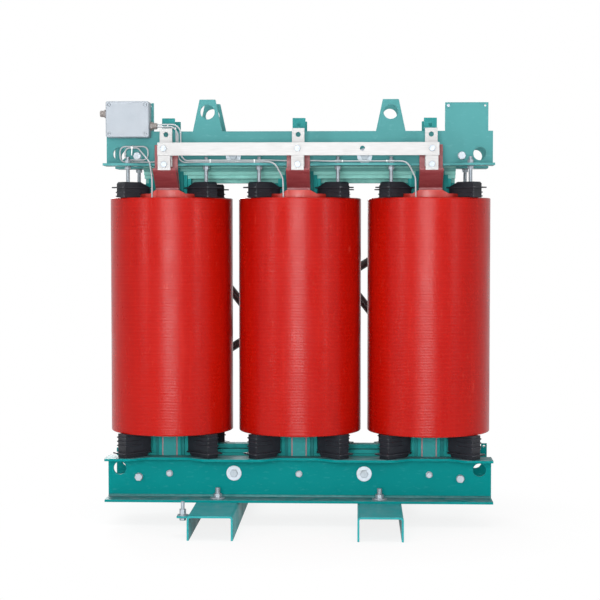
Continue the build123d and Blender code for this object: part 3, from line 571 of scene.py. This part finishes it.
def hank_tie():
    """White nylon tie drawn round the spare loops of the left lead, with its lock and tail."""
    low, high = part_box("clamp_upper_front")
    x0, back_y, base_z = low.x + TIE_IN, high.y, low.z
    middle = x0 + TIE_WIDE / 2
    strands = ((back_y - 0.0245, base_z + 0.067), (back_y - 0.0345, base_z + 0.0625))
    lock_y, lock_z, lock_size, lock_depth = back_y - 0.0412, base_z + 0.063, 0.007, 0.005
    tail_y, tail_z, tail_wide, tail_thick = back_y - 0.0425, base_z + 0.0605, 0.0035, 0.0012
    tail_out, tail_long = 0.006, 0.024

    outline = []
    for index, (y, z) in enumerate(strands):
        for step in range(TIE_STEPS + 1):
            angle = math.radians(-90 + 180 * step / TIE_STEPS + 180 * index)
            outline.append(Vector((y + TIE_BEND * math.cos(angle), z + TIE_BEND * math.sin(angle))))
    bm = bmesh.new()
    tie_band(bm, outline, x0, x0 + TIE_WIDE)

    lock = bmesh.ops.create_cube(bm, size=1.0)["verts"]
    for v in lock:
        v.co = (middle + v.co.x * lock_size, lock_y + v.co.y * lock_depth,
                lock_z + v.co.z * lock_size)
    for v in bmesh.ops.create_cube(bm, size=1.0)["verts"]:
        drop = 0.5 - v.co.z
        v.co = (middle + v.co.x * tail_wide, tail_y + v.co.y * tail_thick - drop * tail_out,
                tail_z - drop * tail_long)
    lock_edges = [e for e in bm.edges if all(v in lock for v in e.verts)]
    bmesh.ops.bevel(bm, geom=lock_edges, offset=LOCK_BEVEL, segments=BEVEL_STEPS,
                    affect="EDGES")
    finished(closed_mesh(bm, "hank_tie"), "hank_tie", "tie_plastic", smooth=False)


def clamp_folds():
    """Bend radius along the inner corner of each folded lower clamp, in the lit enamel as a painted
    highlight on the bend.
    """
    low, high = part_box("clamp_lower_front")
    web_y, flange_z = CLAMP_PLATE - high.y, low.z + CLAMP_PLATE
    for side, sign in (("front", -1), ("rear", 1)):
        bm = bmesh.new()
        ends = []
        for x in (low.x + FOLD_SHORT, high.x - FOLD_SHORT):
            end = [bm.verts.new((x, sign * web_y, flange_z))]
            for step in range(FOLD_STEPS + 1):
                angle = math.radians(90 * step / FOLD_STEPS)
                y = web_y + FOLD_R * (1 - math.cos(angle))
                z = flange_z + FOLD_R * (1 - math.sin(angle))
                end.append(bm.verts.new((x, sign * y, z)))
            bm.faces.new(end)
            ends.append(end)
        for i in range(len(end)):
            j = (i + 1) % len(end)
            bm.faces.new((ends[0][i], ends[0][j], ends[1][j], ends[1][i]))
        name = f"clamp_fold_{side}"
        # The paler lit enamel is a painted highlight along the bend.
        finished(closed_mesh(bm, name), name, "clamp_paint", look=lit_enamel)


thread_crests()
hank_tie()
clamp_folds()


# Floor, light and camera --------------------------------------------------------------------

FLOOR_REACH = 14.0
WHITE_X, WHITE_Y = 1.1, 0.9                   # the ellipse past which the floor is plain white
NEAR_GLOW = 0.84                              # how white it is by the object
WORLD_LIGHT = 0.27

SENSOR, LENS, CAMERA_REACH = 36.0, 92.5, 60
CAMERA_PLACE = (0.2015, -5.3419, 0.9973)
CAMERA_DOWN, CAMERA_LEFT = 2.56, 2.16         # degrees


def seen_directly(tree):
    """1 for the camera and for what is mirrored or seen through, 0 for light on the object."""
    path = add(tree, "ShaderNodeLightPath")
    seen = calc(tree, "MAXIMUM", path.outputs["Is Camera Ray"], path.outputs["Is Glossy Ray"])
    return calc(tree, "MAXIMUM", seen, path.outputs["Is Transmission Ray"])


def floor_paint():
    """Matt grey-white that turns into plain white away from the object."""
    material = bpy.data.materials.new("pale_floor")
    material.use_nodes = True
    tree = material.node_tree
    matt = tree.nodes["Principled BSDF"]
    matt.inputs["Base Color"].default_value = (0.9, 0.9, 0.905, 1)
    matt.inputs["Roughness"].default_value = 0.7
    matt.inputs["Specular IOR Level"].default_value = 0.1
    place = add(tree, "ShaderNodeSeparateXYZ", Vector=object_place(tree))
    x = calc(tree, "DIVIDE", place.outputs["X"], WHITE_X)
    y = calc(tree, "DIVIDE", place.outputs["Y"], WHITE_Y)
    squares = calc(tree, "ADD", calc(tree, "MULTIPLY", x, x), calc(tree, "MULTIPLY", y, y))
    white = ramp(tree, calc(tree, "SQRT", squares), 0.5, 1.0, NEAR_GLOW, 1.0)
    glow = add(tree, "ShaderNodeEmission", Color=(1, 1, 1, 1), Strength=1.0)
    mixed = add(tree, "ShaderNodeMixShader", Fac=calc(tree, "MULTIPLY", white, seen_directly(tree)))
    put(tree, mixed, 1, matt.outputs[0])
    put(tree, mixed, 2, glow.outputs[0])
    put(tree, tree.nodes["Material Output"], "Surface", mixed.outputs[0])
    return material


def floor():
    """Matt floor that reads white away from the object and keeps its shadow near it."""
    corners = [(sx * FLOOR_REACH, sy * FLOOR_REACH, 0) for sx, sy in QUARTERS]
    mesh = bpy.data.meshes.new("floor")
    mesh.from_pydata(corners, [], [(0, 2, 3, 1)])
    mesh.materials.append(floor_paint())
    obj = bpy.data.objects.new("floor", mesh)
    scene.collection.objects.link(obj)


def world():
    """Even light from all round, over a background that reads white."""
    data = bpy.data.worlds.new("studio")
    data.use_nodes = True
    tree = data.node_tree
    back = tree.nodes["Background"]
    back.inputs["Color"].default_value = (1, 1, 1, 1)
    put(tree, back, "Strength", ramp(tree, seen_directly(tree), 0.0, 1.0, WORLD_LIGHT, 1.0))
    scene.world = data


def area_light(name, place, target, width, height, power):
    """White rectangular lamp turned to a target, sizes in metres and power in watts."""
    data = bpy.data.lights.new(name, "AREA")
    data.shape, data.size, data.size_y, data.energy = "RECTANGLE", width, height, power
    obj = bpy.data.objects.new(name, data)
    scene.collection.objects.link(obj)
    obj.location = place
    obj.rotation_euler = (Vector(target) - Vector(place)).to_track_quat("-Z", "Y").to_euler()


def camera():
    """Long lens in front, a little right of the middle and looking slightly down."""
    data = bpy.data.cameras.new("camera")
    data.sensor_width, data.lens, data.clip_end = SENSOR, LENS, CAMERA_REACH
    obj = bpy.data.objects.new("camera", data)
    scene.collection.objects.link(obj)
    obj.location = CAMERA_PLACE
    obj.rotation_euler = (math.radians(90 - CAMERA_DOWN), 0, math.radians(CAMERA_LEFT))
    scene.camera = obj


floor()
world()
area_light("softbox", (-0.2, -5.6, 1.2), (0, 0, 0.75), 2.3, 1.9, 240)
area_light("side_left", (-3.6, -3.1, 1.9), (0, 0, 0.9), 0.45, 1.8, 42)
area_light("side_right", (3.6, -3.0, 1.9), (0, 0, 0.9), 0.45, 1.8, 34)
area_light("top", (0, -0.8, 4.2), (0, 0, 1.0), 3.2, 2.0, 70)
area_light("rear", (-1.6, 4.8, 2.4), (0, 0, 0.75), 1.8, 1.9, 190)
camera()
scene.view_settings.view_transform = "Standard"
